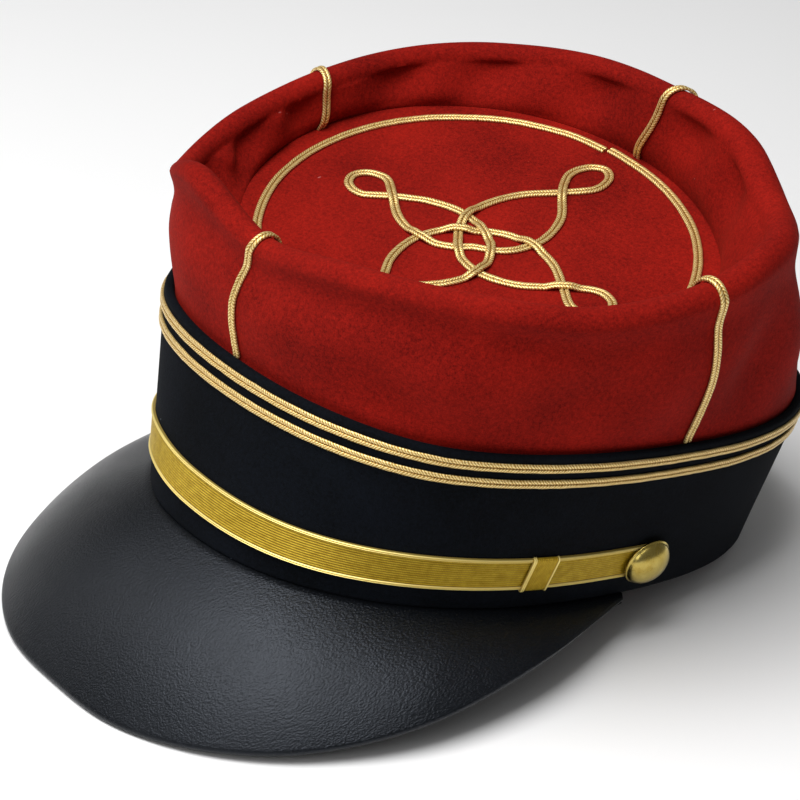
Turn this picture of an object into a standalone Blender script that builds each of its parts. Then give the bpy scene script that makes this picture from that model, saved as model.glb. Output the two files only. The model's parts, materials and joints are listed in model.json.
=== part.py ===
"""A soft kepi: red wool crown with a sunk top, navy band, leather peak, gold strap and braids.

Front is -Y and the wearer's left is +X. Everything is drawn with the band's bottom rim at
height 0, then the whole cap is set down on its rear rim and the front edge of its peak.
"""

import math

import bmesh
import bpy
from mathutils import Matrix, Vector

# Driving dimensions, in metres and degrees
CLEARANCE = 0.0003

BAND_HALF_WIDTH = 0.0745
BAND_HALF_LENGTH = 0.101
BAND_FOOT_POWER = 2.2
BAND_TOP_HALF_WIDTH = 0.0905
BAND_TOP_HALF_LENGTH = 0.0987
BAND_TOP_SHIFT = 0.002
BAND_HEIGHT = 0.0565
BAND_WALL = 0.003
BAND_LIP_ROUND = 0.0012
LIP_SHOULDER = 0.3
OVAL_POWER = 2.45

CLOTH = 0.002
CROWN_LAP = 0.020
CREST_HALF_WIDTH = 0.093
CREST_HALF_LENGTH = 0.080
CREST_FORWARD = 0.012
CREST_ASIDE = 0.002
CREST_HEIGHT = 0.134
CREST_ROUND = 0.0035
WALL_BULGE = 0.0018

TOP_HALF_WIDTH = 0.0835
TOP_HALF_LENGTH = 0.0725
TOP_HEIGHT = 0.0867
TOP_FORWARD = 0.0086
TOP_ASIDE = -0.0015
TOP_LEAN = 17.2
TOP_SIDE_LEAN = 6.4
FOOT_INSET = 0.0025
FOOT_RISE = 0.003

LEATHER = 0.003
PEAK_HALF_WIDTH = 0.0950
PEAK_REACH = 0.0423
PEAK_DROP = 0.0425
PEAK_ARCH = 0.0035
PEAK_TUCK = 0.008
PEAK_EDGE_ROUND = 0.0011
PEAK_LEAST = 0.0005

BRAID_WIDTH = 0.0030
BRAID_THICKNESS = 0.0010
BRAID_EDGE_SLOPE = 0.15
CORD_WIDTH = 0.0028
CORD_TURNS = (0.0, 94.0, 180.0, 270.0)
UPPER_ROW_HEIGHT = 0.0527
LOWER_ROW_HEIGHT = 0.0472
RING_HALF_WIDTH = 0.0718
RING_HALF_LENGTH = 0.0654
KNOT_SIZE = 0.0685
KNOT_TURN = 10.0
KNOT_CLEAR_RUN = 0.0027
KNOT_FADE_RUN = 0.0025

STRAP_WIDTH = 0.0116
STRAP_THICKNESS = 0.0012
STRAP_HEIGHT = 0.0142
STRAP_EDGE_SLOPE = 0.05
BUTTON_ANGLE = 94.5
STRAP_OVERRUN = 2.5
SLIDER_ANGLE = 72.0
SLIDER_WIDTH = 0.0100
SLIDER_WALL = 0.0008
BUTTON_RADIUS = 0.0072
BUTTON_HEIGHT = 0.0050

# How finely the solids are faceted
ROUND_STEPS = 72
PEAK_END_STEPS = 19
KNOT_STEP = 0.0021
BUTTON_STEPS = 20
KNOT_CURVE_STEPS = 12
PEAK_LEVELS = (1.0, 0.85, 0.6, 0.3)

# The crest of the crown, one row for each turn of 22.5 degrees from the front round by the
# wearer's left: how far it stands out, as a share of the crest's half width, and its height,
# as a share of the highest point. The dips and corners are the cap's own soft folds.
CREST_ROWS = (
    # out, height
    (0.020, 0.722),
    (0.012, 0.752),
    (-0.008, 0.768),
    (-0.008, 0.778),
    (0.050, 0.872),
    (0.030, 0.912),
    (-0.032, 0.938),
    (-0.057, 0.996),
    (-0.050, 1.000),
    (-0.028, 0.986),
    (-0.018, 0.946),
    (-0.020, 0.898),
    (-0.020, 0.838),
    (-0.018, 0.768),
    (0.044, 0.692),
    (0.084, 0.766),
)

# The wall of the crown between the band and the crest: its share of the way up, and how much
# of the bulge it has there.
WALL_ROWS = (
    # way up, bulge
    (0.08, 0.25),
    (0.26, 0.75),
    (0.50, 1.00),
    (0.75, 0.60),
)

# The peak's outer edge, one row for each sixth of the way from the front middle back to its
# end: shares of the peak's half width, of the distance from the band's middle to the peak's
# tip, and of the peak's drop.
PEAK_ROWS = (
    # aside, ahead, drop
    (0.000, 1.000, 1.000),
    (0.312, 0.980, 0.990),
    (0.595, 0.886, 0.904),
    (0.828, 0.727, 0.733),
    (0.968, 0.505, 0.465),
    (0.964, 0.230, 0.155),
    (0.845, -0.045, 0.020),
)

# Half of one arm of the knot, from the middle of the knot out to the tip of the loop: along
# the arm and across it, as shares of the knot's size.
KNOT_ROWS = (
    # along, across
    (-0.044, -0.044),
    (0.045, -0.110),
    (0.130, -0.176),
    (0.260, -0.175),
    (0.415, -0.105),
    (0.555, 0.000),
    (0.685, 0.084),
    (0.785, 0.066),
    (0.830, 0.000),
)
# Where the knot's cord passes over itself, counting its crossings along the cord.
OVER_PASSES = (2, 4, 6, 8, 10, 14, 15, 18, 19, 20, 22, 24)

MM = 0.001
NEAR_TURN = 0.01
UP = Vector((0, 0, 1))


def blend(start, end, share):
    return start + (end - start) * share


def smooth_row(rows, position, closed):
    """The rows read at a fractional position, on a smooth curve through them."""
    count = len(rows)
    whole = math.floor(position)
    share = position - whole

    def row(index):
        index = index % count if closed else min(max(index, 0), count - 1)
        return rows[index]

    before, start, end, after = (row(whole + step) for step in (-1, 0, 1, 2))
    values = []
    for a, b, c, d in zip(before, start, end, after):
        bend = 2 * a - 5 * b + 4 * c - d
        twist = 3 * (b - c) + d - a
        values.append(b + 0.5 * share * (c - a + share * (bend + share * twist)))
    return values


def oval(angle, half_width, half_length, shift=0.0, power=OVAL_POWER):
    """A plan point of a squared oval. The angle runs from the front round by the wearer's left."""
    aside, ahead = math.sin(angle), math.cos(angle)
    size = (abs(aside) ** power + abs(ahead) ** power) ** (-1 / power)
    return Vector((half_width * size * aside, shift - half_length * size * ahead, 0))


def outward(angle):
    return Vector((math.sin(angle), -math.cos(angle), 0))


def turns(count):
    return [2 * math.pi * step / count for step in range(count)]


def colour(hex_code):
    """An sRGB hex colour as linear values."""
    channels = [int(hex_code[place : place + 2], 16) / 255 for place in (0, 2, 4)]
    linear = [c / 12.92 if c <= 0.04045 else ((c + 0.055) / 1.055) ** 2.4 for c in channels]
    return (*linear, 1.0)


def material(name, hex_code, roughness, metallic=0.0):
    made = bpy.data.materials.new(name)
    made.use_nodes = True
    made.diffuse_color = colour(hex_code)
    shader = made.node_tree.nodes["Principled BSDF"]
    shader.inputs["Base Color"].default_value = colour(hex_code)
    shader.inputs["Roughness"].default_value = roughness
    shader.inputs["Metallic"].default_value = metallic
    return made


def finished(name, mesh_maker, finish, sharp_degrees=35):
    """Turns a bmesh into a smooth shaded object with its own material."""
    mesh = bpy.data.meshes.new(name)
    bmesh.ops.recalc_face_normals(mesh_maker, faces=mesh_maker.faces)
    mesh_maker.to_mesh(mesh)
    mesh_maker.free()
    mesh.shade_smooth()
    mesh.set_sharp_from_angle(angle=math.radians(sharp_degrees))
    made = bpy.data.objects.new(name, mesh)
    made.data.materials.append(finish)
    bpy.context.collection.objects.link(made)
    return made


def swept(name, loops, closed, finish):
    """A solid through a row of section loops, round a ring or with a flat cap at each end."""
    maker = bmesh.new()
    rings = [[maker.verts.new(point) for point in loop] for loop in loops]
    pairs = list(zip(rings, rings[1:]))
    if closed:
        pairs.append((rings[-1], rings[0]))
    for first, second in pairs:
        for side in range(len(first)):
            after = (side + 1) % len(first)
            maker.faces.new((first[side], second[side], second[after], first[after]))
    if not closed:
        maker.faces.new(rings[0])
        maker.faces.new(reversed(rings[-1]))
    return finished(name, maker, finish)


def round_sheet(name, columns, thickness, finish):
    """A cloth wall right round: columns of outer points, thickened inwards."""
    maker = bmesh.new()
    grid = [[maker.verts.new(point) for point in column] for column in columns]
    for first, second in zip(grid, grid[1:] + grid[:1]):
        for low in range(len(first) - 1):
            maker.faces.new((first[low], second[low], second[low + 1], first[low + 1]))
    mesh = bpy.data.meshes.new(name)
    maker.to_mesh(mesh)
    maker.free()
    mesh.shade_smooth()
    made = bpy.data.objects.new(name, mesh)
    made.data.materials.append(finish)
    bpy.context.collection.objects.link(made)
    wall = made.modifiers.new("wall", "SOLIDIFY")
    wall.thickness = thickness
    wall.offset = -1
    return made


def band_point(angle, height, out=0.0):
    """A point on the band's outer face, or off it by out."""
    rise = height / BAND_HEIGHT
    point = oval(
        angle,
        blend(BAND_HALF_WIDTH, BAND_TOP_HALF_WIDTH, rise) + out,
        blend(BAND_HALF_LENGTH, BAND_TOP_HALF_LENGTH, rise) + out,
        BAND_TOP_SHIFT * rise,
        blend(BAND_FOOT_POWER, OVAL_POWER, rise),
    )
    point.z = height
    return point


def band_frame(angle, height):
    """A place on the band's outer face with its directions along, up and out."""
    along = band_point(angle + NEAR_TURN, height) - band_point(angle - NEAR_TURN, height)
    along.normalize()
    up = band_point(angle, height + MM) - band_point(angle, height - MM)
    out = along.cross(up).normalized()
    return band_point(angle, height), along, out.cross(along), out


def make_band(finish):
    """The navy wall, with a flat bottom rim and a rolled lip."""
    shoulder = BAND_HEIGHT - BAND_LIP_ROUND
    soft = LIP_SHOULDER * BAND_LIP_ROUND
    outline = (
        # height, out
        (0.0, 0.0),
        (0.5 * BAND_HEIGHT, 0.0),
        (shoulder, 0.0),
        (BAND_HEIGHT - soft, -soft),
        (BAND_HEIGHT, -BAND_LIP_ROUND),
        (BAND_HEIGHT, -BAND_WALL),
        (0.5 * BAND_HEIGHT, -BAND_WALL),
        (0.0, -BAND_WALL),
    )
    loops = [[band_point(angle, *place) for place in outline] for angle in turns(ROUND_STEPS)]
    return swept("band", loops, True, finish)


def crest_point(angle):
    out, height = smooth_row(CREST_ROWS, angle / (2 * math.pi) * len(CREST_ROWS), True)
    point = oval(angle, CREST_HALF_WIDTH, CREST_HALF_LENGTH, -CREST_FORWARD)
    point += outward(angle) * out * CREST_HALF_WIDTH
    point.x += CREST_ASIDE
    point.z = height * CREST_HEIGHT
    return point


def top_frame():
    """The sunk top's middle, its directions aside and back, and its normal."""
    aside = Vector((1, 0, -math.tan(math.radians(TOP_SIDE_LEAN)))).normalized()
    back = Vector((0, 1, math.tan(math.radians(TOP_LEAN))))
    back = (back - aside * back.dot(aside)).normalized()
    return Vector((TOP_ASIDE, -TOP_FORWARD, TOP_HEIGHT)), aside, back, aside.cross(back)


def top_point(aside_by, back_by, above=0.0):
    middle, aside, back, normal = top_frame()
    return middle + aside * aside_by + back * back_by + normal * above


def foot_point(angle, above):
    """Where the crown's inner wall comes down on the edge of the top."""
    aside_by = (TOP_HALF_WIDTH - FOOT_INSET) * math.sin(angle)
    back_by = -(TOP_HALF_LENGTH - FOOT_INSET) * math.cos(angle)
    return top_point(aside_by, back_by, above)


def crown_column(angle):
    """The outer face of the crown: up the wall, over the crest, down to the top."""
    inside = -BAND_WALL - CLEARANCE
    start = band_point(angle, BAND_HEIGHT, inside)
    crest = crest_point(angle)
    out = outward(angle)
    fold = crest - out * CREST_ROUND - UP * CREST_ROUND
    column = [band_point(angle, BAND_HEIGHT - CROWN_LAP, inside), start]
    for way_up, bulge in WALL_ROWS:
        column.append(blend(start, fold + out * CREST_ROUND, way_up) + out * WALL_BULGE * bulge)
    for turn in (0, 45, 90, 135, 180):
        lean = math.radians(turn)
        column.append(fold + (out * math.cos(lean) + UP * math.sin(lean)) * CREST_ROUND)
    foot = foot_point(angle, CLEARANCE)
    landing = foot_point(angle, CLEARANCE + FOOT_RISE)
    column.append(blend(column[-1], landing, 0.5))
    column.append(landing)
    column.append(foot)
    return column


def make_crown_wall(finish):
    columns = [crown_column(angle) for angle in turns(ROUND_STEPS)]
    return round_sheet("crown_wall", columns, CLOTH, finish)


def make_crown_top(finish):
    maker = bmesh.new()
    faces = []
    for depth in (0.0, -CLOTH):
        rim = []
        for angle in turns(ROUND_STEPS):
            aside_by = TOP_HALF_WIDTH * math.sin(angle)
            back_by = -TOP_HALF_LENGTH * math.cos(angle)
            rim.append(maker.verts.new(top_point(aside_by, back_by, depth)))
        faces.append(maker.faces.new(rim))
    bmesh.ops.bridge_loops(maker, edges=[edge for face in faces for edge in face.edges])
    return finished("crown_top", maker, finish)


def peak_column(step):
    """The peak's upper face at one step of the band's seam, from its edge back into the band."""
    last = len(PEAK_ROWS) - 1
    rows = [(-aside, ahead, drop) for aside, ahead, drop in PEAK_ROWS[:0:-1]] + list(PEAK_ROWS)
    aside, ahead, drop = smooth_row(rows, last * (1 + step / PEAK_END_STEPS), False)
    angle = 2 * math.pi * step / ROUND_STEPS
    inner = band_point(angle, 0, -BAND_WALL - CLEARANCE)
    outer = band_point(angle, 0)
    edge = Vector(
        (
            aside * PEAK_HALF_WIDTH,
            -ahead * (BAND_HALF_LENGTH + PEAK_REACH),
            -drop * PEAK_DROP,
        )
    )
    if (edge - outer).dot(outward(angle)) < PEAK_LEAST:
        edge.x, edge.y, _ = outer + outward(angle) * PEAK_LEAST
    edge.z = min(edge.z, -2 * CLEARANCE)
    tuck = band_point(angle, PEAK_TUCK, -BAND_WALL - CLEARANCE)
    seat = inner - UP * CLEARANCE
    rim = outer - UP * CLEARANCE
    run = edge - rim
    across = run.cross(UP).normalized()
    lift = across.cross(run).normalized() * PEAK_ARCH * min(1.0, run.length / PEAK_REACH)
    column = []
    for share in PEAK_LEVELS:
        column.append(rim + run * share + lift * 4 * share * (1 - share))
    return column + [rim, seat, tuck]


def peak_loop(before, column, after):
    """The peak's section: its upper face, its lower face and a rounded nose at its edge."""
    last = len(column) - 1
    upper, lower, normals = [], [], []
    for level, point in enumerate(column):
        run = column[min(level + 1, last)] - column[max(level - 1, 0)]
        normal = (after[level] - before[level]).cross(run).normalized()
        normals.append(normal)
        upper.append(point.copy())
        lower.append(point - normal * LEATHER)
    ahead = (column[0] - column[1]).normalized() * PEAK_EDGE_ROUND
    nose = [column[0] - normals[0] * LEATHER * share for share in (0.7, 0.3)]
    upper[0] -= ahead
    lower[0] -= ahead
    return upper + lower[::-1] + nose


def make_peak(finish):
    first, last = -PEAK_END_STEPS, PEAK_END_STEPS
    columns = {step: peak_column(step) for step in range(first - 1, last + 2)}
    loops = []
    for step in range(first, last + 1):
        loops.append(peak_loop(columns[step - 1], columns[step], columns[step + 1]))
    return swept("peak", loops, False, finish)


def ribbon_loop(place, across, normal, width, thickness, slope=BRAID_EDGE_SLOPE):
    """A flat braid's section: flat below, its edges leaning in above."""
    half = width / 2
    outline = (
        # across, above
        (-half, 0.0),
        (-half * (1 - slope), thickness),
        (half * (1 - slope), thickness),
        (half, 0.0),
    )
    return [place + across * aside + normal * above for aside, above in outline]


def make_row(name, height, finish):
    loops = []
    for angle in turns(ROUND_STEPS):
        place, _, up, out = band_frame(angle, height)
        place = place + out * CLEARANCE
        loops.append(ribbon_loop(place, up, out, BRAID_WIDTH, BRAID_THICKNESS))
    return swept(name, loops, True, finish)


def make_ring(finish):
    _, _, _, normal = top_frame()
    loops = []
    for angle in turns(ROUND_STEPS):
        aside_by = RING_HALF_WIDTH * math.sin(angle)
        back_by = -RING_HALF_LENGTH * math.cos(angle)
        place = top_point(aside_by, back_by, CLEARANCE)
        ahead = top_point(
            RING_HALF_WIDTH * math.cos(angle), RING_HALF_LENGTH * math.sin(angle)
        ) - top_point(0, 0)
        across = normal.cross(ahead).normalized()
        loops.append(ribbon_loop(place, across, normal, BRAID_WIDTH, BRAID_THICKNESS))
    return swept("braid_ring", loops, True, finish)


def make_cord(name, turn, finish):
    """A braid up the crown's wall, over the crest and down to the sunk top."""
    angle = math.radians(turn)
    near = 2 * math.pi / ROUND_STEPS
    here, left, right = crown_column(angle), crown_column(angle + near), crown_column(angle - near)
    loops = []
    for level in range(1, len(here)):
        before, after = here[level - 1], here[min(level + 1, len(here) - 1)]
        along = (after - before).normalized()
        across = (left[level] - right[level]).normalized()
        normal = across.cross(along).normalized()
        place = here[level] + normal * CLEARANCE
        if level == 1:
            place = place + along * (BAND_LIP_ROUND + CLEARANCE) + normal * CLEARANCE
        if level == len(here) - 1:
            place = place + UP * BRAID_THICKNESS
        across = along.cross(normal).normalized()
        loops.append(ribbon_loop(place, across, normal, CORD_WIDTH, BRAID_THICKNESS))
    return swept(name, loops, False, finish)


def knot_route():
    """The knot's closed path in the plane of the top, as even steps (aside, back)."""
    corners = []
    for arm in range(4):
        turn = math.radians(KNOT_TURN + 90 * arm)
        along, across = (math.cos(turn), math.sin(turn)), (math.sin(turn), -math.cos(turn))
        out_rows = list(KNOT_ROWS)
        back_rows = [(a, -c) for a, c in reversed(KNOT_ROWS[1:-1])]
        for a, c in out_rows + back_rows:
            corners.append(
                (
                    KNOT_SIZE * (a * along[0] + c * across[0]),
                    KNOT_SIZE * (a * along[1] + c * across[1]),
                )
            )
    steps = range(len(corners) * KNOT_CURVE_STEPS)
    dense = [smooth_row(corners, step / KNOT_CURVE_STEPS, True) for step in steps]
    lengths = [0.0]
    for first, second in zip(dense, dense[1:] + dense[:1]):
        lengths.append(lengths[-1] + math.dist(first, second))
    count = round(lengths[-1] / KNOT_STEP)
    route = []
    segment = 0
    for step in range(count):
        wanted = lengths[-1] * step / count
        while lengths[segment + 1] < wanted:
            segment += 1
        share = (wanted - lengths[segment]) / (lengths[segment + 1] - lengths[segment])
        start, end = dense[segment], dense[(segment + 1) % len(dense)]
        route.append((blend(start[0], end[0], share), blend(start[1], end[1], share)))
    return route, lengths[-1] / count


def crossings(route):
    """The fractional places along the route where it crosses itself, in order, one per pass."""
    count = len(route)
    passes = []
    for first in range(count):
        a, b = Vector(route[first]), Vector(route[(first + 1) % count])
        for second in range(first + 2, count):
            if (second + 1) % count == first:
                continue
            c, d = Vector(route[second]), Vector(route[(second + 1) % count])
            bottom = (b - a).cross(d - c)
            if not bottom:
                continue
            s = (c - a).cross(d - c) / bottom
            t = (c - a).cross(b - a) / bottom
            if 0 <= s < 1 and 0 <= t < 1:
                passes += [first + s, second + t]
    return sorted(passes)


def make_knot(finish):
    route, step = knot_route()
    count = len(route)
    over = [p for number, p in enumerate(crossings(route), 1) if number in OVER_PASSES]
    _, aside, back, normal = top_frame()
    loops = []
    for index, (aside_by, back_by) in enumerate(route):
        lift = 0.0
        for place in over:
            away = abs(index - place)
            run = min(away, count - away) * step
            fade = min(max((run - KNOT_CLEAR_RUN) / KNOT_FADE_RUN, 0), 1)
            lift = max(lift, 0.5 + 0.5 * math.cos(math.pi * fade))
        lift *= BRAID_THICKNESS + CLEARANCE
        before, after = route[index - 1], route[(index + 1) % count]
        along = aside * (after[0] - before[0]) + back * (after[1] - before[1])
        across = along.cross(normal).normalized()
        place = top_point(aside_by, back_by, CLEARANCE + lift)
        loops.append(ribbon_loop(place, across, normal, BRAID_WIDTH, BRAID_THICKNESS))
    return swept("braid_knot", loops, True, finish)


def make_strap(finish):
    half_turn = BUTTON_ANGLE + STRAP_OVERRUN
    steps = 2 * round(half_turn / 180 * ROUND_STEPS)
    loops = []
    for step in range(steps + 1):
        angle = math.radians(blend(-half_turn, half_turn, step / steps))
        place, _, up, out = band_frame(angle, STRAP_HEIGHT)
        place = place + out * CLEARANCE
        loops.append(
            ribbon_loop(place, up, out, STRAP_WIDTH, STRAP_THICKNESS, STRAP_EDGE_SLOPE)
        )
    return swept("chin_strap", loops, False, finish)


def make_slider(name, turn, finish):
    """A flat loop round the strap, open where it meets the band."""
    place, along, up, out = band_frame(math.radians(turn), STRAP_HEIGHT)
    inner_half = STRAP_WIDTH / 2 + CLEARANCE
    outer_half = inner_half + SLIDER_WALL
    inner_out = 2 * CLEARANCE + STRAP_THICKNESS
    outer_out = inner_out + SLIDER_WALL
    outline = (
        # up, out
        (-outer_half, CLEARANCE),
        (-outer_half, outer_out),
        (outer_half, outer_out),
        (outer_half, CLEARANCE),
        (inner_half, CLEARANCE),
        (inner_half, inner_out),
        (-inner_half, inner_out),
        (-inner_half, CLEARANCE),
    )
    loops = []
    for share in (-0.5, 0, 0.5):
        shifted = place + along * SLIDER_WIDTH * share
        loops.append([shifted + up * high + out * far for high, far in outline])
    return swept(name, loops, False, finish)


def make_button(name, turn, finish):
    """A domed button with a thin rim, its flat back against the strap."""
    place, along, up, out = band_frame(math.radians(turn), STRAP_HEIGHT)
    seat = 2 * CLEARANCE + STRAP_THICKNESS
    profile = (
        # radius, height, as shares of the button's
        (0.93, 0.00),
        (1.00, 0.07),
        (1.00, 0.17),
        (0.94, 0.26),
        (0.80, 0.52),
        (0.60, 0.78),
        (0.34, 0.94),
    )
    maker = bmesh.new()
    rings = []
    for radius, height in profile:
        ring = []
        for angle in turns(BUTTON_STEPS):
            spoke = along * math.cos(angle) + up * math.sin(angle)
            point = place + spoke * radius * BUTTON_RADIUS + out * (seat + height * BUTTON_HEIGHT)
            ring.append(maker.verts.new(point))
        rings.append(ring)
    for first, second in zip(rings, rings[1:]):
        for side in range(BUTTON_STEPS):
            after = (side + 1) % BUTTON_STEPS
            maker.faces.new((first[side], first[after], second[after], second[side]))
    maker.faces.new(rings[0])
    tip = maker.verts.new(place + out * (seat + BUTTON_HEIGHT))
    for side in range(BUTTON_STEPS):
        maker.faces.new((rings[-1][side], rings[-1][(side + 1) % BUTTON_STEPS], tip))
    return finished(name, maker, finish, 50)


def evaluated_points(made, turned=Matrix()):
    graph = bpy.context.evaluated_depsgraph_get()
    mesh = made.evaluated_get(graph).to_mesh()
    return [turned @ vertex.co for vertex in mesh.vertices]


def set_down(pieces):
    """Rests the cap on its rear rim and its peak, with the origin under its middle."""
    rim = Vector((0, BAND_HALF_LENGTH, 0))
    peak = next(piece for piece in pieces if piece.name == "peak")
    drops = [math.atan2(-point.z, rim.y - point.y) for point in evaluated_points(peak)]
    turned = Matrix.Rotation(-max(drops), 4, "X")
    points = [point for piece in pieces for point in evaluated_points(piece, turned)]
    lows = [min(point[axis] for point in points) for axis in range(3)]
    highs = [max(point[axis] for point in points) for axis in range(3)]
    rest = bpy.data.objects.new("rest_pose", None)
    bpy.context.collection.objects.link(rest)
    rest.rotation_euler = (-max(drops), 0, 0)
    rest.location = (-(lows[0] + highs[0]) / 2, -(lows[1] + highs[1]) / 2, -lows[2])
    for piece in pieces:
        piece.parent = rest


def main():
    for old in list(bpy.data.objects):
        bpy.data.objects.remove(old, do_unlink=True)
    red_wool = material("madder_wool", "8E1416", 0.95)
    navy_wool = material("navy_wool", "0E1016", 0.95)
    leather = material("black_leather", "101013", 0.45)
    gold_braid = material("gold_braid", "C9A85C", 0.42, 0.7)
    gold_lace = material("gold_lace", "CBA12A", 0.40, 0.7)
    gilt = material("gilt_brass", "B8973C", 0.28, 1.0)
    pieces = [
        make_band(navy_wool),
        make_crown_wall(red_wool),
        make_crown_top(red_wool),
        make_peak(leather),
        make_row("braid_row_upper", UPPER_ROW_HEIGHT, gold_braid),
        make_row("braid_row_lower", LOWER_ROW_HEIGHT, gold_braid),
        make_ring(gold_braid),
        make_knot(gold_braid),
        make_strap(gold_lace),
    ]
    for name, turn in zip(("front", "left", "back", "right"), CORD_TURNS):
        pieces.append(make_cord("braid_" + name, turn, gold_braid))
    for name, side in (("left", 1), ("right", -1)):
        pieces.append(make_slider("slider_" + name, side * SLIDER_ANGLE, gold_lace))
        pieces.append(make_button("button_" + name, side * BUTTON_ANGLE, gilt))
    set_down(pieces)


main()
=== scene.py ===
"""A soft kepi on a pale table: milled wool, gold soutache, gold lace, gilt buttons and leather."""

import json
import math

import bmesh
import bpy
import numpy as np
from mathutils import Matrix, Vector, noise


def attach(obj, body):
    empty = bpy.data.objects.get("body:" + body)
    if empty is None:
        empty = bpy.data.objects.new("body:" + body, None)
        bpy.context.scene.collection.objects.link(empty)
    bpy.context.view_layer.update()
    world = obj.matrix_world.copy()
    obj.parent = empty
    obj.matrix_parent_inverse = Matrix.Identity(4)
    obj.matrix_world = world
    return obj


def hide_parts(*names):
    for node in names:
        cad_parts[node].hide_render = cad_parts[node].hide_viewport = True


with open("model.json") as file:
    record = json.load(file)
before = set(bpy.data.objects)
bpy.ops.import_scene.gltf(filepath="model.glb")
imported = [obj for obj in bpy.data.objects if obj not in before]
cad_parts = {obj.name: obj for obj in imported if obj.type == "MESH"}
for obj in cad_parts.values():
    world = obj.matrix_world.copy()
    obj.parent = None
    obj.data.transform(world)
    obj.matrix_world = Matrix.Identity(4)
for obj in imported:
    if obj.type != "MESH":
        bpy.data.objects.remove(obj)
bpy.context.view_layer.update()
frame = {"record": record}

MM = 0.001
UP = Vector((0, 0, 1))

# Camera: its turn round the cap, rise, roll and distance from the point that it looks at, and
# where that point falls in the picture.
CAMERA_TURN = 52.15
CAMERA_RISE = 28.19
CAMERA_ROLL = 2.26
CAMERA_AWAY = 0.9712
CAMERA_AIM = (-0.0068, -0.0012, 0.0564)
CAMERA_LENS = 141.25
AIM_PIXEL = (398.4, 400.3)
IMAGE_PIXELS = 800

# The cap's own sizes, in metres and degrees. A power of 2 is a round oval, more is squarer.
BAND_HALF_WIDTH = 0.0745
BAND_HALF_LENGTH = 0.101
BAND_FOOT_POWER = 2.2
BAND_REAR_POWER = 2.42
BAND_TOP_HALF_WIDTH = 0.0905
BAND_TOP_HALF_LENGTH = 0.0987
BAND_TOP_SHIFT = 0.002
BAND_HEIGHT = 0.0565
BAND_WALL = 0.003
LIP_ROUND = 0.0014
HEM_ROUND = 0.0007
BAND_UNEVEN = 0.00012
OVAL_POWER = 2.45
CLOTH = 0.002
CROWN_LAP = 0.020
CREST_HALF_WIDTH = 0.093
CREST_HALF_LENGTH = 0.080
CREST_FORWARD = 0.012
CREST_ASIDE = 0.002
CREST_HEIGHT = 0.134
WALL_BULGE = 0.0018
TOP_HALF_WIDTH = 0.0835
TOP_HALF_LENGTH = 0.0725
TOP_HEIGHT = 0.0867
TOP_FORWARD = 0.0086
TOP_ASIDE = -0.0015
TOP_LEAN = 17.2
TOP_SIDE_LEAN = 6.4
FOOT_INSET = 0.0025
LEATHER = 0.003
PEAK_HALF_WIDTH = 0.0950
PEAK_REACH = 0.0423
PEAK_ASIDE = 0.0008
PEAK_DROP = 0.0425
PEAK_ARCH = 0.0035
PEAK_TUCK = 0.008
PEAK_LEAST = 0.0005
PEAK_END_TURN = 95.0
BRAID_WIDTH = 0.0030
BRAID_THICKNESS = 0.0010
CORD_WIDTH = 0.0028
UPPER_ROW_HEIGHT = 0.0527
LOWER_ROW_HEIGHT = 0.0472
RING_ASIDE = -0.0004
RING_HALF_WIDTH = 0.0714
RING_HALF_LENGTH = 0.0654
RING_JOINT_TURN = 193.0
KNOT_SIZE = 0.0662
KNOT_ASIDE = -0.0003
KNOT_BACK = -0.0012
KNOT_CROSSING = 0.555
KNOT_CLEAR_RUN = 0.0014
KNOT_FADE_RUN = 0.0050
STRAP_WIDTH = 0.0116
STRAP_THICKNESS = 0.0012
STRAP_HEIGHT = 0.0138
BUTTON_ANGLE = 95.5
STRAP_OVERRUN = 3.0
LACE_CORD = 0.00055
LACE_RIBS = 12
RIB_RISE = 0.72
SLIDER_ANGLE = 72.6
SLIDER_WIDTH = 0.0088
SLIDE_OVERHANG = 0.0004
SLIDE_WALL = 0.0005
SLIDE_BEND = 0.0008
SLIDE_LEAN = 0.06
BUTTON_RADIUS = 0.0082
BUTTON_HEIGHT = 0.0056

# Gap between a sewn-down piece and the cloth under it
SEAT = 0.00008
# How far the cords up the crown lie off its cloth
CORD_LIFT = 0.00025
# Where those cords start and end on the crown's way
CORD_WAYS = (0.015, 2.985)
# How uneven the sunk top is, and over what length
TOP_UNEVEN = 0.00022
TOP_UNEVEN_RUN = 0.024
# How far the ring's ends pass each other at its joint, and over what length
RING_JOINT_SHIFT = 0.0006
RING_JOINT_RUN = 0.007

# The crest of the crown, one row for each turn of 22.5 degrees from the front round by the
# wearer's left: how far it stands out, as a share of the crest's half width, its height, as a
# share of the highest point, and the radius of the fold in millimetres.
CREST_ROWS = (
    # out, height, fold
    (0.050, 0.710, 4.2),
    (0.052, 0.750, 4.5),
    (0.036, 0.770, 4.8),
    (0.044, 0.780, 5.0),
    (0.085, 0.835, 4.8),
    (0.072, 0.912, 5.0),
    (-0.032, 0.938, 5.5),
    (-0.053, 1.000, 5.0),
    (-0.045, 1.003, 4.5),
    (-0.022, 0.990, 4.5),
    (-0.011, 0.950, 4.5),
    (-0.013, 0.902, 4.5),
    (-0.014, 0.842, 4.5),
    (-0.016, 0.772, 4.0),
    (0.044, 0.692, 3.5),
    (0.075, 0.766, 4.5),
)

# The bulge of the crown's outer wall on its way up from the band to the crest: fullest half
# way up, and drawn in under the roll of the crest.
WALL_ROWS = ((0.0,), (0.6,), (1.1,), (1.2,), (0.6,), (-0.3,), (0.0,))
INNER_SLACK = 0.0015

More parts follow.
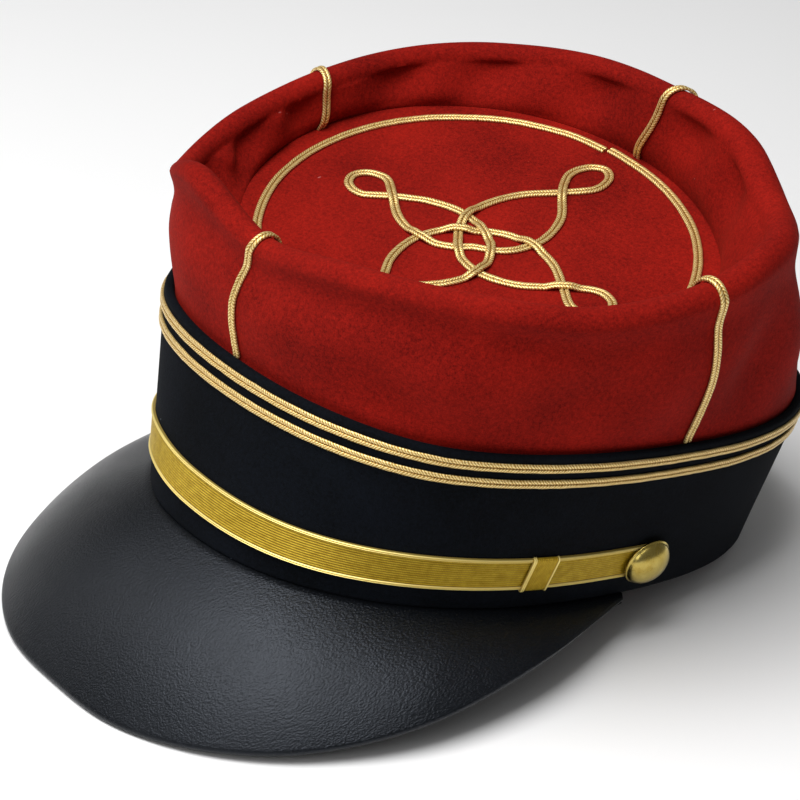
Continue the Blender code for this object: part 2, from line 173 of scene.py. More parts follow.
# The soft folds of the crown: where each lies round the cap, how wide it is to either side, how
# far it slants by the time it reaches the crest, where its deepest place is on the way from the
# foot to the crest, how far it reaches to either side of that, and how far it swells.
OUTER_FOLDS = (
    # turn, spread, slant, middle, reach, swell mm
    (6, 9, 0, 0.42, 0.30, 1.0),
    (20, 14, 10, 0.86, 0.16, -1.3),
    (33, 8, -8, 0.25, 0.22, -3.5),
    (44, 9, 0, 0.40, 0.22, 2.5),
    (55, 12, 0, 0.84, 0.16, -1.8),
    (69, 10, 6, 0.45, 0.25, -3.5),
    (84, 9, 0, 0.55, 0.30, 1.2),
    (108, 7, 6, 0.42, 0.28, -4.0),
    (123, 7, 0, 0.50, 0.30, 1.8),
    (150, 14, 0, 0.55, 0.35, -1.8),
    (178, 14, 0, 0.50, 0.40, 1.4),
    (212, 14, 0, 0.50, 0.40, -1.6),
    (250, 13, 0, 0.50, 0.40, 1.4),
    (285, 12, 0, 0.50, 0.40, -1.6),
    (325, 9, 0, 0.50, 0.40, -1.0),
    (345, 10, 0, 0.60, 0.30, -1.2),
)
INNER_FOLDS = (
    # turn, spread, slant, middle, reach, swell mm
    (129, 10, 0, 0.60, 0.45, 1.5),
    (146, 6, 0, 0.75, 0.35, -2.5),
    (156, 5, 0, 0.60, 0.40, 1.0),
    (168, 7, 0, 0.80, 0.35, -2.2),
    (185, 7, 0, 0.60, 0.40, 1.0),
    (201, 6, -6, 0.70, 0.50, -2.6),
    (216, 6, 0, 0.60, 0.45, 1.2),
    (228, 6, -6, 0.70, 0.50, -2.6),
    (240, 5, 0, 0.55, 0.45, 1.2),
    (250.5, 6, -3, 0.70, 0.50, -3.0),
    (264, 6, 0, 0.60, 0.45, 1.2),
    (280, 4.5, -2, 0.65, 0.50, -2.6),
    (287, 3.5, 0, 0.75, 0.35, 1.6),
    (301, 5, -15, 0.60, 0.55, -3.2),
    (305, 3, 0, 0.75, 0.30, 2.0),
    (314, 5, 0, 0.55, 0.50, -4.0),
)

# Where the trim sewn round the band dips and rises: its turn, how far that spreads to either
# side, and how far up it goes.
ROW_DIPS = (
    # turn, spread, up mm
    (46, 16, -1.2),
    (-22, 14, 0.6),
)
STRAP_DIPS = (
    # turn, spread, up mm
    (30, 24, -1.0),
    (-24, 14, 1.4),
)

# The peak's outer edge, one row for each sixth of the way from the front middle back to its
# end: shares of the peak's half width, of the distance from the band's middle to the peak's
# tip, and of the peak's drop.
PEAK_ROWS = (
    # aside, ahead, drop
    (0.000, 1.000, 1.000),
    (0.312, 0.980, 0.990),
    (0.595, 0.886, 0.904),
    (0.815, 0.727, 0.755),
    (0.952, 0.505, 0.495),
    (0.948, 0.230, 0.180),
    (0.808, -0.045, 0.012),
)

# Half of one arm of the knot, from the middle of the knot out to the tip of the loop: along
# the arm and across it, as shares of the knot's size.
KNOT_ROWS = (
    # along, across
    (-0.040, -0.060),
    (0.020, -0.120),
    (0.110, -0.168),
    (0.240, -0.180),
    (0.400, -0.125),
    (KNOT_CROSSING, 0.000),
    (0.680, 0.086),
    (0.785, 0.070),
    (0.830, 0.000),
)
# The knot's four arms, laid by hand and so no two alike: the turn from the wearer's left round
# by the back, the length as a share of the knot's size, and how full the belly of the cord is
# on its way out and on its way back, as shares of the common one.
KNOT_ARMS = (
    # turn, length, belly out, belly back
    (11.0, 1.00, 0.84, 1.00),
    (97.5, 1.05, 0.95, 1.22),
    (191.0, 0.94, 0.86, 0.68),
    (274.0, 0.98, 1.20, 0.98),
)
# Where the knot's cord passes over itself, counting its crossings along the cord.
OVER_PASSES = (2, 4, 6, 8, 10, 14, 15, 18, 19, 20, 22, 24)

# The four cords up the crown: their turn at the band, half way up, at the crest and at the
# foot of the inner wall.
CORD_ROWS = (
    # name, band, middle, crest, foot
    ("front", 0.0, -1.5, 0.0, 0.0),
    ("left", 93.0, 93.5, 92.5, 90.0),
    ("back", 180.0, 179.0, 177.5, 185.8),
    ("right", 270.0, 270.0, 270.0, 273.3),
)

# Softboxes, with where each stands, what it points at, its size and its power
LAMPS = (
    # name, place, aim, size, watts
    ("overhead", (0.03, -0.38, 1.12), (0, -0.02, 0.08), (0.9, 0.7), 15),
    ("front", (0.30, -1.0, 0.62), (0, 0, 0.07), (0.7, 0.5), 1.8),
    ("right_side", (-0.85, -0.55, 0.85), (0, -0.02, 0.08), (0.5, 0.7), 2.6),
)
WORLD_STRENGTH = 0.18

# How finely the surfaces are drawn
ROUND_STEPS = 432
WALL_STEPS = 34
FOLD_STEPS = 12
INNER_STEPS = 24
BRAID_STEP = 0.0005
STRAP_STEP = 0.0012


def blend(start, end, share):
    return start + (end - start) * share


def smooth_row(rows, position, closed):
    """The rows read at a fractional position, on a smooth curve through them."""
    count = len(rows)
    whole = math.floor(position)
    share = position - whole

    def row(index):
        index = index % count if closed else min(max(index, 0), count - 1)
        return rows[index]

    before, start, end, after = (row(whole + step) for step in (-1, 0, 1, 2))
    values = []
    for a, b, c, d in zip(before, start, end, after):
        bend = 2 * a - 5 * b + 4 * c - d
        twist = 3 * (b - c) + d - a
        values.append(b + 0.5 * share * (c - a + share * (bend + share * twist)))
    return values


def smooth(share):
    share = min(max(share, 0.0), 1.0)
    return share * share * (3 - 2 * share)


def oval(angle, half_width, half_length, shift=0.0, power=OVAL_POWER):
    """A plan point of a squared oval. The angle runs from the front round by the wearer's left."""
    aside, ahead = math.sin(angle), math.cos(angle)
    size = (abs(aside) ** power + abs(ahead) ** power) ** (-1 / power)
    return Vector((half_width * size * aside, shift - half_length * size * ahead, 0))


def outward(angle):
    return Vector((math.sin(angle), -math.cos(angle), 0))


def turns(count):
    return [2 * math.pi * step / count for step in range(count)]


def rest_pose():
    """Where the cap lies, worked out from the flat of its rear rim."""
    rim = next(mount for mount in frame["record"]["mounts"] if mount["name"] == "rear_rim")
    turned = Matrix.Rotation(math.asin(rim["axis"][1]), 4, "X")
    own = Vector((0, BAND_HALF_LENGTH - BAND_WALL / 2, 0))
    return Matrix.Translation(Vector(rim["pos_m"]) - turned @ own) @ turned


REST = rest_pose()


def shell(name, grid, finish, closed_rows=False, closed_columns=False, thread=None, sharp=40):
    """A smooth mesh over rows of points. Thread is the run and the across of each point."""
    rows, columns = len(grid), len(grid[0])
    points = [REST @ point for row in grid for point in row]
    faces = []
    corners = []
    for r in range(rows if closed_rows else rows - 1):
        for c in range(columns if closed_columns else columns - 1):
            r2, c2 = (r + 1) % rows, (c + 1) % columns
            faces.append((r * columns + c, r2 * columns + c, r2 * columns + c2, r * columns + c2))
            corners += [(r, c), (r + 1, c), (r + 1, c + 1), (r, c + 1)]
    if closed_columns and not closed_rows:
        faces.append(tuple(range(columns)))
        corners += [(0, c) for c in range(columns)]
        last = (rows - 1) * columns
        faces.append(tuple(last + c for c in reversed(range(columns))))
        corners += [(rows - 1, c) for c in reversed(range(columns))]
    mesh = bpy.data.meshes.new(name)
    mesh.from_pydata(points, [], faces)
    if thread:
        runs, across = thread
        layer = mesh.uv_layers.new(name="thread")
        flat = [value for r, c in corners for value in (runs[r], across[c])]
        layer.data.foreach_set("uv", flat)
    return shown(name, mesh, finish, sharp)


def shown(name, mesh, finish, sharp=40):
    """A mesh as an object of the cap, with its seams merged and its faces turned outwards."""
    maker = bmesh.new()
    maker.from_mesh(mesh)
    bmesh.ops.remove_doubles(maker, verts=maker.verts, dist=1e-6)
    bmesh.ops.recalc_face_normals(maker, faces=maker.faces)
    maker.to_mesh(mesh)
    maker.free()
    mesh.shade_smooth()
    mesh.set_sharp_from_angle(angle=math.radians(sharp))
    made = bpy.data.objects.new(name, mesh)
    mesh.materials.append(finish)
    bpy.context.collection.objects.link(made)
    return made


def ripple(point, size, seed):
    """A soft noise from -1 to 1, with waves of about that size."""
    return noise.noise(Vector(point) / size + Vector((seed, 2.7 * seed, -seed)))


def thickened(grid, thickness):
    """Closed sections round a wall: each row of outer points, then the same ones inside."""
    outer = np.array([[tuple(point) for point in row] for row in grid])
    along = np.roll(outer, -1, 0) - np.roll(outer, 1, 0)
    across = np.gradient(outer, axis=1)
    normal = np.cross(along, across)
    normal /= np.linalg.norm(normal, axis=2, keepdims=True)
    inner = outer - normal * thickness
    both = np.concatenate([outer, inner[:, ::-1]], axis=1)
    return [[Vector(point) for point in row] for row in both]


# Band


def band_point(angle, height, out=0.0):
    """A point on the band's outer face, or off it by out."""
    rise = height / BAND_HEIGHT
    foot_power = blend(BAND_FOOT_POWER, BAND_REAR_POWER, 0.5 - 0.5 * math.cos(angle))
    point = oval(
        angle,
        blend(BAND_HALF_WIDTH, BAND_TOP_HALF_WIDTH, rise) + out,
        blend(BAND_HALF_LENGTH, BAND_TOP_HALF_LENGTH, rise) + out,
        BAND_TOP_SHIFT * rise,
        blend(foot_power, OVAL_POWER, rise),
    )
    point.z = height
    return point


def dips(rows, angle):
    """How far the trim round the band has drifted up at that turn."""
    turn = (math.degrees(angle) + 180) % 360 - 180
    total = 0.0
    for middle, spread, up in rows:
        total += up * math.exp(-(((turn - middle) / spread) ** 2))
    return total * MM


def band_frame(angle, height, drift):
    """A place on the band's outer face with its directions along, up and out."""
    near = 0.01
    height += dips(drift, angle)
    along = (band_point(angle + near, height) - band_point(angle - near, height)).normalized()
    up = band_point(angle, height + MM) - band_point(angle, height - MM)
    out = along.cross(up).normalized()
    return band_point(angle, height), along, out.cross(along), out


def quarter(middle, radius, first, steps):
    """A quarter round of (height, out) about a middle, on from a first heading in degrees."""
    headings = np.radians(np.linspace(first, first + 90, steps))
    return [(middle[0] + radius * math.sin(a), middle[1] + radius * math.cos(a)) for a in headings]


def make_band(finish):
    """The navy cloth wall, turned in at its soft lip and at its bottom rim."""
    lip, hem = LIP_ROUND, HEM_ROUND
    outline = [(height, 0.0) for height in np.linspace(2 * hem, BAND_HEIGHT - 2 * lip, 14)]
    outline += quarter((BAND_HEIGHT - lip, -lip), lip, 0, 6)
    outline += quarter((BAND_HEIGHT - lip, -BAND_WALL + lip), lip, 90, 6)
    outline += [(height, -BAND_WALL) for height in np.linspace(BAND_HEIGHT - 2 * lip, 2 * hem, 10)]
    outline += quarter((hem, -BAND_WALL + hem), hem, 180, 4)
    outline += quarter((hem, -hem), hem, 270, 4)
    grid = []
    for angle in turns(ROUND_STEPS):
        row = []
        for height, out in outline:
            point = band_point(angle, height, out)
            point.z += dips(ROW_DIPS, angle) * height / BAND_HEIGHT
            soft = BAND_UNEVEN * ripple(point, 0.022, 3)
            row.append(point + outward(angle) * soft)
        grid.append(row)
    return shell("wool_band", grid, finish, True, True)


# Crown


def top_frame():
    """The sunk top's middle, its directions aside and back, and its normal."""
    aside = Vector((1, 0, -math.tan(math.radians(TOP_SIDE_LEAN)))).normalized()
    back = Vector((0, 1, math.tan(math.radians(TOP_LEAN))))
    back = (back - aside * back.dot(aside)).normalized()
    return Vector((TOP_ASIDE, -TOP_FORWARD, TOP_HEIGHT)), aside, back, aside.cross(back)


TOP_MIDDLE, TOP_SIDEWAYS, TOP_BACK, TOP_NORMAL = top_frame()


def top_point(aside_by, back_by, above=0.0):
    """A point on the sunk top, which is a little uneven, as cloth over card is."""
    uneven = TOP_UNEVEN * ripple((aside_by, back_by, 0), TOP_UNEVEN_RUN, 5)
    return (
        TOP_MIDDLE + TOP_SIDEWAYS * aside_by + TOP_BACK * back_by + TOP_NORMAL * (above + uneven)
    )


def foot_point(angle, above):
    """Where the crown's inner wall comes down on the edge of the top."""
    return top_point(
        (TOP_HALF_WIDTH - FOOT_INSET) * math.sin(angle),
        -(TOP_HALF_LENGTH - FOOT_INSET) * math.cos(angle),
        above,
    )


def swell(folds, turn, way):
    """How far the cloth stands out of its plain form, from the folds near that place."""
    total = 0.0
    for middle_turn, spread, slant, middle, reach, far in folds:
        away = (turn - middle_turn - slant * (way - 0.5) + 180) % 360 - 180
        if abs(away) < 3 * spread:
            total += far * math.exp(-((away / spread) ** 2) - ((way - middle) / reach) ** 2)
    return total * MM


def crown_point(angle, way):
    """The crown's outer face. The way runs from below 0 inside the band, up to 1 under the crest,
    over it to 2 and down to 3 at the edge of the top."""
    turn = math.degrees(angle) % 360
    out_by, height, fold_mm = smooth_row(CREST_ROWS, turn / 360 * len(CREST_ROWS), True)
    fold = fold_mm * MM
    out = outward(angle)
    crest = oval(angle, CREST_HALF_WIDTH, CREST_HALF_LENGTH, -CREST_FORWARD)
    crest += out * out_by * CREST_HALF_WIDTH
    crest.x += CREST_ASIDE
    crest.z = height * CREST_HEIGHT
    middle = crest - out * fold - UP * fold
    if way < 0:
        return band_point(angle, BAND_HEIGHT + way * CROWN_LAP, -BAND_WALL - SEAT)
    if way <= 1:
        start = band_point(angle, BAND_HEIGHT, -BAND_WALL - SEAT)
        bulge = smooth_row(WALL_ROWS, way * (len(WALL_ROWS) - 1), False)[0] * WALL_BULGE
        fade = smooth(way / 0.12) * smooth((1 - way) / 0.10)
        far = bulge + swell(OUTER_FOLDS, turn, way) * fade
        return blend(start, middle + out * fold, way) + out * far
    if way <= 2:
        lean = math.pi * (way - 1)
        return middle + (out * math.cos(lean) + UP * math.sin(lean)) * fold
    down = way - 2
    start = middle - out * fold
    end = foot_point(angle, 2 * SEAT)
    slack = math.sin(math.pi * down**2) * INNER_SLACK
    fade = smooth(down / 0.10) * smooth((1 - down) / 0.16)
    far = slack + swell(INNER_FOLDS, turn, 1 - down) * fade
    return blend(start, end, down) - out * far


def crown_frame(angle, way):
    """A place on the crown with its directions along the way, across it and out of the cloth."""
    near_turn, near_way = 0.006, 0.012
    place = crown_point(angle, way)
    low, high = max(way - near_way, 0.0), min(way + near_way, 3.0)
    along = (crown_point(angle, high) - crown_point(angle, low)).normalized()
    aside = (crown_point(angle + near_turn, way) - crown_point(angle - near_turn, way)).normalized()
    out = aside.cross(along).normalized()
    return place, along, along.cross(out).normalized(), out


def make_crown_wall(finish):
    """The red cloth: up from inside the band, over the soft crest and down to the top."""
    ways = list(np.linspace(-1, -0.05, 5))
    ways += list(np.linspace(0, 1, WALL_STEPS, endpoint=False))
    ways += list(np.linspace(1, 2, FOLD_STEPS, endpoint=False))
    ways += list(np.linspace(2, 3, INNER_STEPS))
    grid = []
    for angle in turns(ROUND_STEPS):
        row = []
        for way in ways:
            point = crown_point(angle, way)
            if way > 0:
                soft = 0.30 * ripple(point, 0.016, 1) + 0.45 * ripple(point, 0.038, 2)
                point += outward(angle) * soft * MM * smooth(way / 0.2) * smooth((3 - way) / 0.3)
            row.append(point)
        grid.append(row)
    return shell("crown_cloth", thickened(grid, CLOTH), finish, True, True, sharp=60)


def make_crown_top(finish):
    """The sunk disc, from its middle out over its edge and back underneath."""
    shares = list(np.linspace(0.0, 1.0, 36))
    grid = []
    for angle in turns(ROUND_STEPS // 2):
        aside, back = TOP_HALF_WIDTH * math.sin(angle), -TOP_HALF_LENGTH * math.cos(angle)
        row = [top_point(aside * share, back * share) for share in shares]
        row += [top_point(aside * share, back * share, -CLOTH) for share in shares[::-1]]
        grid.append(row)
    return shell("top_cloth", grid, finish, True, False)


# Peak


def peak_column(step_turn):
    """The peak's upper face at one turn of the seam, from its edge back into the band."""
    last = len(PEAK_ROWS) - 1
    rows = [(-aside, ahead, drop) for aside, ahead, drop in PEAK_ROWS[:0:-1]] + list(PEAK_ROWS)
    aside, ahead, drop = smooth_row(rows, last * (1 + step_turn / PEAK_END_TURN), False)
    angle = math.radians(step_turn)
    inner = band_point(angle, 0, -BAND_WALL - SEAT)
    outer = band_point(angle, 0)
    edge = Vector(
        (
            PEAK_ASIDE + aside * PEAK_HALF_WIDTH,
            -ahead * (BAND_HALF_LENGTH + PEAK_REACH),
            -drop * PEAK_DROP,
        )
    )
    if (edge - outer).dot(outward(angle)) < PEAK_LEAST:
        edge.x, edge.y, _ = outer + outward(angle) * PEAK_LEAST
    edge.z = min(edge.z, -2 * SEAT)
    rim = outer - UP * SEAT
    run = edge - rim
    across = run.cross(UP).normalized()
    lift = across.cross(run).normalized() * PEAK_ARCH * min(1.0, run.length / PEAK_REACH)
    column = []
    for share in np.linspace(1.0, 0.0, 26):
        column.append(rim + run * share + lift * 4 * share * (1 - share))
    return column + [inner - UP * SEAT, band_point(angle, PEAK_TUCK, -BAND_WALL - SEAT)]


def make_peak(finish):
    """The leather peak: upper face, rolled edge and lower face in one section, swept round."""
    count = 6 * round(2 * PEAK_END_TURN / 5)
    places = [blend(-PEAK_END_TURN, PEAK_END_TURN, step / count) for step in range(-1, count + 2)]
    columns = [peak_column(place) for place in places]
    grid = []
    for before, column, after in zip(columns, columns[1:], columns[2:]):
        last = len(column) - 1
        upper, lower = [], []
        for level, point in enumerate(column):
            run = column[min(level + 1, last)] - column[max(level - 1, 0)]
            normal = (after[level] - before[level]).cross(run).normalized()
            upper.append(point.copy())
            lower.append(point - normal * LEATHER)
            if level == 0:
                edge_normal = normal
        half = LEATHER / 2
        ahead = (column[0] - column[1]).normalized()
        middle = column[0] - edge_normal * half - ahead * half
        nose = []
        for lean in np.linspace(math.pi / 2, -math.pi / 2, 11):
            reach = ahead * half * math.cos(lean)
            nose.append(middle + reach + edge_normal * half * math.sin(lean))
        grid.append(upper[1:] + lower[:0:-1] + nose[::-1])
    return shell("leather_peak", grid, finish, False, True, sharp=50)


# Braids


def soutache_outline(width, thickness):
    """The section of a flat braid: two plaited strands side by side over a flat back."""
    quarter = width / 4
    outline = []
    for side in (-1, 1):
        for lean in np.linspace(math.pi, 0, 8):
            if side == 1 and lean == math.pi:
                continue
            aside = side * quarter + quarter * math.cos(lean)
            outline.append((aside, thickness * (0.42 + 0.58 * math.sin(lean))))
    outline += [(width / 2 * 0.86, 0.0), (-width / 2 * 0.86, 0.0)]
    return outline


def make_soutache(name, frames, width, finish, closed, seed):
    """A flat braid along frames of (place, across, out), a little uneven as it is sewn by hand."""
    outline = soutache_outline(width, BRAID_THICKNESS)
    grid = []
    runs = [0.0]
    count = len(frames)
    for index, (place, across, out) in enumerate(frames):
        drift = 0.10 * MM * ripple(place, 0.011, seed)
        wide = 1 + 0.06 * ripple(place, 0.004, seed + 1)
        tall = 1 + 0.10 * ripple(place, 0.003, seed + 2)
        section = []
        for aside, above in outline:
            section.append(place + across * (aside * wide + drift) + out * above * tall)
        grid.append(section)
        after = frames[(index + 1) % count][0]
        runs.append(runs[-1] + (after - place).length)
    thread_runs = [run / MM for run in runs]
    thread_across = [aside / MM for aside, _ in outline] + [outline[0][0] / MM]
    return shell(name, grid, finish, closed, True, (thread_runs, thread_across), 60)


def make_row(name, height, finish, seed):
    frames = []
    girth = 2 * math.pi * math.sqrt((BAND_TOP_HALF_WIDTH**2 + BAND_TOP_HALF_LENGTH**2) / 2)
    for angle in turns(round(girth / BRAID_STEP)):
        place, _, up, out = band_frame(angle, height, ROW_DIPS)
        frames.append((place + out * SEAT, up, out))
    return make_soutache(name, frames, BRAID_WIDTH, finish, True, seed)


def make_ring(finish):
    """The ring on the top. Its two ends meet at the back, one a little outside the other."""
    half_turn = math.pi - 0.5 * MM / RING_HALF_LENGTH
    joint = math.radians(RING_JOINT_TURN)
    girth = math.pi * (RING_HALF_WIDTH + RING_HALF_LENGTH)
    count = round(girth / BRAID_STEP)
    frames = []
    for step in range(count + 1):
        share = step / count
        angle = joint + blend(math.pi - half_turn, math.pi + half_turn, share)
        away = min(share, 1 - share) * girth
        side = 1 if share > 0.5 else -1
        shift = side * RING_JOINT_SHIFT * math.exp(-((away / RING_JOINT_RUN) ** 2))
        aside_by, back_by = (RING_HALF_WIDTH + shift), (RING_HALF_LENGTH + shift)
        place = top_point(
            RING_ASIDE + aside_by * math.sin(angle), -back_by * math.cos(angle), SEAT
        )
        ahead = TOP_SIDEWAYS * aside_by * math.cos(angle) + TOP_BACK * back_by * math.sin(angle)
        frames.append((place, TOP_NORMAL.cross(ahead).normalized(), TOP_NORMAL))
    return make_soutache("soutache_ring", frames, BRAID_WIDTH, finish, False, 31)


def knot_route():
    """The knot's closed path in the plane of the top, as even steps (aside, back)."""
    out_rows = [(a, c, 0) for a, c in KNOT_ROWS]
    back_rows = [(a, -c, 1) for a, c in reversed(KNOT_ROWS[1:-1])]
    corners = []
    for turn, length, *bellies in KNOT_ARMS:
        aside, back = math.cos(math.radians(turn)), math.sin(math.radians(turn))
        for a, c, way in out_rows + back_rows:
            fullness = bellies[way] if a < KNOT_CROSSING else 1
            along, across = KNOT_SIZE * a * length, KNOT_SIZE * c * fullness
            corners.append(
                (
                    KNOT_ASIDE + along * aside + across * back,
                    KNOT_BACK + along * back - across * aside,
                )
            )
    fine = 24
    dense = [smooth_row(corners, step / fine, True) for step in range(len(corners) * fine)]
    lengths = [0.0]
    for first, second in zip(dense, dense[1:] + dense[:1]):
        lengths.append(lengths[-1] + math.dist(first, second))
    count = round(lengths[-1] / BRAID_STEP)
    route = []
    segment = 0
    for step in range(count):
        wanted = lengths[-1] * step / count
        while lengths[segment + 1] < wanted:
            segment += 1
        share = (wanted - lengths[segment]) / (lengths[segment + 1] - lengths[segment])
        start, end = dense[segment], dense[(segment + 1) % len(dense)]
        route.append((blend(start[0], end[0], share), blend(start[1], end[1], share)))
    return route, lengths[-1] / count


def crossings(route):
    """The fractional places along the route where it crosses itself, in order, one per pass."""
    starts = np.array(route)
    steps = np.roll(starts, -1, 0) - starts
    count = len(route)
    passes = []
    for first in range(count):
        ahead = starts - starts[first]
        bottom = steps[first][0] * steps[:, 1] - steps[first][1] * steps[:, 0]
        bottom[bottom == 0] = 1e-30
        s = (ahead[:, 0] * steps[:, 1] - ahead[:, 1] * steps[:, 0]) / bottom
        t = (ahead[:, 0] * steps[first][1] - ahead[:, 1] * steps[first][0]) / bottom
        for second in np.nonzero((s >= 0) & (s < 1) & (t >= 0) & (t < 1))[0]:
            if second > first + 1 and (second + 1) % count != first:
                passes += [first + s[second], second + t[second]]
    return sorted(passes)


def make_knot(finish):
    """The closed knot, its cord humped where it passes over itself."""
    route, step = knot_route()
    count = len(route)
    over = [p for number, p in enumerate(crossings(route), 1) if number in OVER_PASSES]
    frames = []
    for index, (aside_by, back_by) in enumerate(route):
        lift = 0.0
        for place in over:
            away = abs(index - place)
            run = min(away, count - away) * step
            fade = min(max((run - KNOT_CLEAR_RUN) / KNOT_FADE_RUN, 0), 1)
            lift = max(lift, 0.5 + 0.5 * math.cos(math.pi * fade))
        lift *= 0.9 * BRAID_THICKNESS + SEAT
        before, after = route[index - 2], route[(index + 2) % count]
        along = TOP_SIDEWAYS * (after[0] - before[0]) + TOP_BACK * (after[1] - before[1])
        place = top_point(aside_by, back_by, SEAT + lift)
        frames.append((place, along.cross(TOP_NORMAL).normalized(), TOP_NORMAL))
    return make_soutache("soutache_knot", frames, BRAID_WIDTH, finish, True, 41)


def make_cord(name, cord_turns, finish, seed):
    """A braid up the crown's wall, over the crest and down to the sunk top."""
    rows = [(turn,) for turn in cord_turns[:3]]
    rows += [(blend(cord_turns[2], cord_turns[3], share),) for share in (0.25, 0.5, 1.0)]

    def place_at(way):
        turn = smooth_row(rows, way * (len(rows) - 1) / 3, False)[0]
        return crown_frame(math.radians(turn), way)

    first, last = CORD_WAYS
    ways = [first]
    while ways[-1] < last:
        here = crown_point(math.radians(cord_turns[1]), ways[-1])
        there = crown_point(math.radians(cord_turns[1]), ways[-1] + 0.01)
        ways.append(ways[-1] + 0.01 * BRAID_STEP / (there - here).length)
    frames = [place_at(min(way, last)) for way in ways]
    places = []
    for index, (place, _, _, out) in enumerate(frames):
        before, after = frames[max(index - 2, 0)][0], frames[min(index + 2, len(frames) - 1)][0]
        along = (after - before).normalized()
        out = (out - along * out.dot(along)).normalized()
        places.append((place + out * (SEAT + CORD_LIFT), along.cross(out).normalized(), out))
    return make_soutache("soutache_" + name, places, CORD_WIDTH, finish, False, seed)


# Strap, sliders and buttons


def lace_outline(width, low_cords, high_cords):
    """The section of gold lace: round cords along its edges and flat ribs between them, as
    (across, above, weave). Weave counts the ribs out from the middle; the cords lie beyond."""
    rib = (width - (low_cords + high_cords) * LACE_CORD) / LACE_RIBS
    outline = []
    aside = -width / 2
    low, high = -LACE_RIBS // 2 - low_cords, LACE_RIBS // 2 + high_cords
    for weave in range(low, high):
        is_rib = -LACE_RIBS / 2 <= weave < LACE_RIBS / 2
        size = rib if is_rib else LACE_CORD
        for share, rise in ((0.06, 0.62), (0.28, 0.94), (0.5, 1.0), (0.72, 0.94), (0.94, 0.62)):
            above = STRAP_THICKNESS * (RIB_RISE if is_rib else 1.0) * rise
            outline.append((aside + size * share, above, weave + share))
        aside += size
    return outline


def lace_shell(name, grid, outline, finish):
    """Lace through a row of sections, with its weave's run and across kept for the threads."""
    runs = [0.0]
    for first, second in zip(grid, grid[1:]):
        runs.append(runs[-1] + (second[0] - first[0]).length / MM)
    weave = [place for _, _, place in outline]
    weave += [weave[-1], weave[0], weave[0]]
    return shell(name, grid, finish, False, True, (runs + [runs[-1]], weave), 60)


def make_strap(finish):
    half_turn = math.radians(BUTTON_ANGLE + STRAP_OVERRUN)
    steps = round(2 * half_turn * BAND_HALF_LENGTH / STRAP_STEP)
    outline = lace_outline(STRAP_WIDTH, 2, 2)
    edge = STRAP_WIDTH / 2 - 0.1 * MM
    grid = []
    for step in range(steps + 1):
        angle = blend(-half_turn, half_turn, step / steps)
        place, _, up, out = band_frame(angle, STRAP_HEIGHT, STRAP_DIPS)
        place += out * SEAT
        section = [place + up * aside + out * above for aside, above, _ in outline]
        grid.append(section + [place + up * edge, place - up * edge])
    return lace_shell("lace_strap", grid, outline, finish)


def make_slide(name, turn, finish):
    """A loop of the same lace round the strap, leaning a little, with proud cords at its edges."""
    angle = math.radians(turn)
    near = 0.01
    pace = (
        band_point(angle + near, STRAP_HEIGHT) - band_point(angle - near, STRAP_HEIGHT)
    ).length / (2 * near)
    half = STRAP_WIDTH / 2 + SLIDE_OVERHANG
    far = STRAP_THICKNESS + 2 * SEAT + SLIDE_WALL
    bend, seat = SLIDE_BEND, SEAT + SLIDE_WALL
    profile = [(-half, seat)] + quarter((-half + bend, far - bend), bend, -90, 6)
    profile += [(high, far) for high in np.linspace(-half + 2 * bend, half - 2 * bend, 10)]
    profile += quarter((half - bend, far - bend), bend, 0, 6) + [(half, seat)]
    outline = lace_outline(SLIDER_WIDTH, 2, 1)
    edge = SLIDER_WIDTH / 2
    rows = [(aside, above - RIB_RISE * STRAP_THICKNESS) for aside, above, _ in outline]
    rows += [(edge, -SLIDE_WALL), (-edge, -SLIDE_WALL)]
    grid = []
    for index, (high, away) in enumerate(profile):
        before, after = profile[max(index - 1, 0)], profile[min(index + 1, len(profile) - 1)]
        rise, depth = after[0] - before[0], after[1] - before[1]
        section = []
        for aside, above in rows:
            reach = aside + high * SLIDE_LEAN
            place, _, up, out = band_frame(angle + reach / pace, STRAP_HEIGHT, STRAP_DIPS)
            normal = (out * rise - up * depth) / math.hypot(rise, depth)
            section.append(place + up * high + out * away + normal * above)
        grid.append(section)
    return lace_shell(name, grid, outline, finish)


def make_button(name, turn, finish):
    """A domed button with a thin rolled rim, sewn down over the end of the strap."""
    place, along, up, out = band_frame(math.radians(turn), STRAP_HEIGHT, STRAP_DIPS)
    seat = STRAP_THICKNESS + 2 * SEAT
    profile = [
        # radius, height, as shares of the button's
        (0.00, 0.02),
        (0.80, 0.02),
        (0.90, 0.00),
        (0.97, 0.02),
        (1.00, 0.08),
        (1.00, 0.13),
        (0.98, 0.17),
        (0.95, 0.19),
    ]
    for lean in np.linspace(0.16, math.pi / 2, 20):
        profile.append((0.95 * math.cos(lean), 0.08 + 0.92 * math.sin(lean)))
    grid = []
    for angle in turns(96):
        spoke = along * math.cos(angle) + up * math.sin(angle)
        row = []
        for radius, height in profile:
            row.append(
                place + spoke * radius * BUTTON_RADIUS + out * (seat + height * BUTTON_HEIGHT)
            )
        grid.append(row)
    return shell(name, grid, finish, True, False, sharp=50)


# Materials


def colour(hex_code):
    """An sRGB hex colour as linear values."""
    channels = [int(hex_code[place : place + 2], 16) / 255 for place in (0, 2, 4)]
    linear = [c / 12.92 if c <= 0.04045 else ((c + 0.055) / 1.055) ** 2.4 for c in channels]
    return (*linear, 1.0)


def node(tree, kind, links, **settings):
    """Adds a node, with its settings, and fills or links its inputs by name or number."""
    made = tree.nodes.new(kind)
    for name, value in settings.items():
        setattr(made, name, value)
    for name, value in links.items():
        if isinstance(value, bpy.types.NodeSocket):
            tree.links.new(value, made.inputs[name])
        else:
            made.inputs[name].default_value = value
    return made


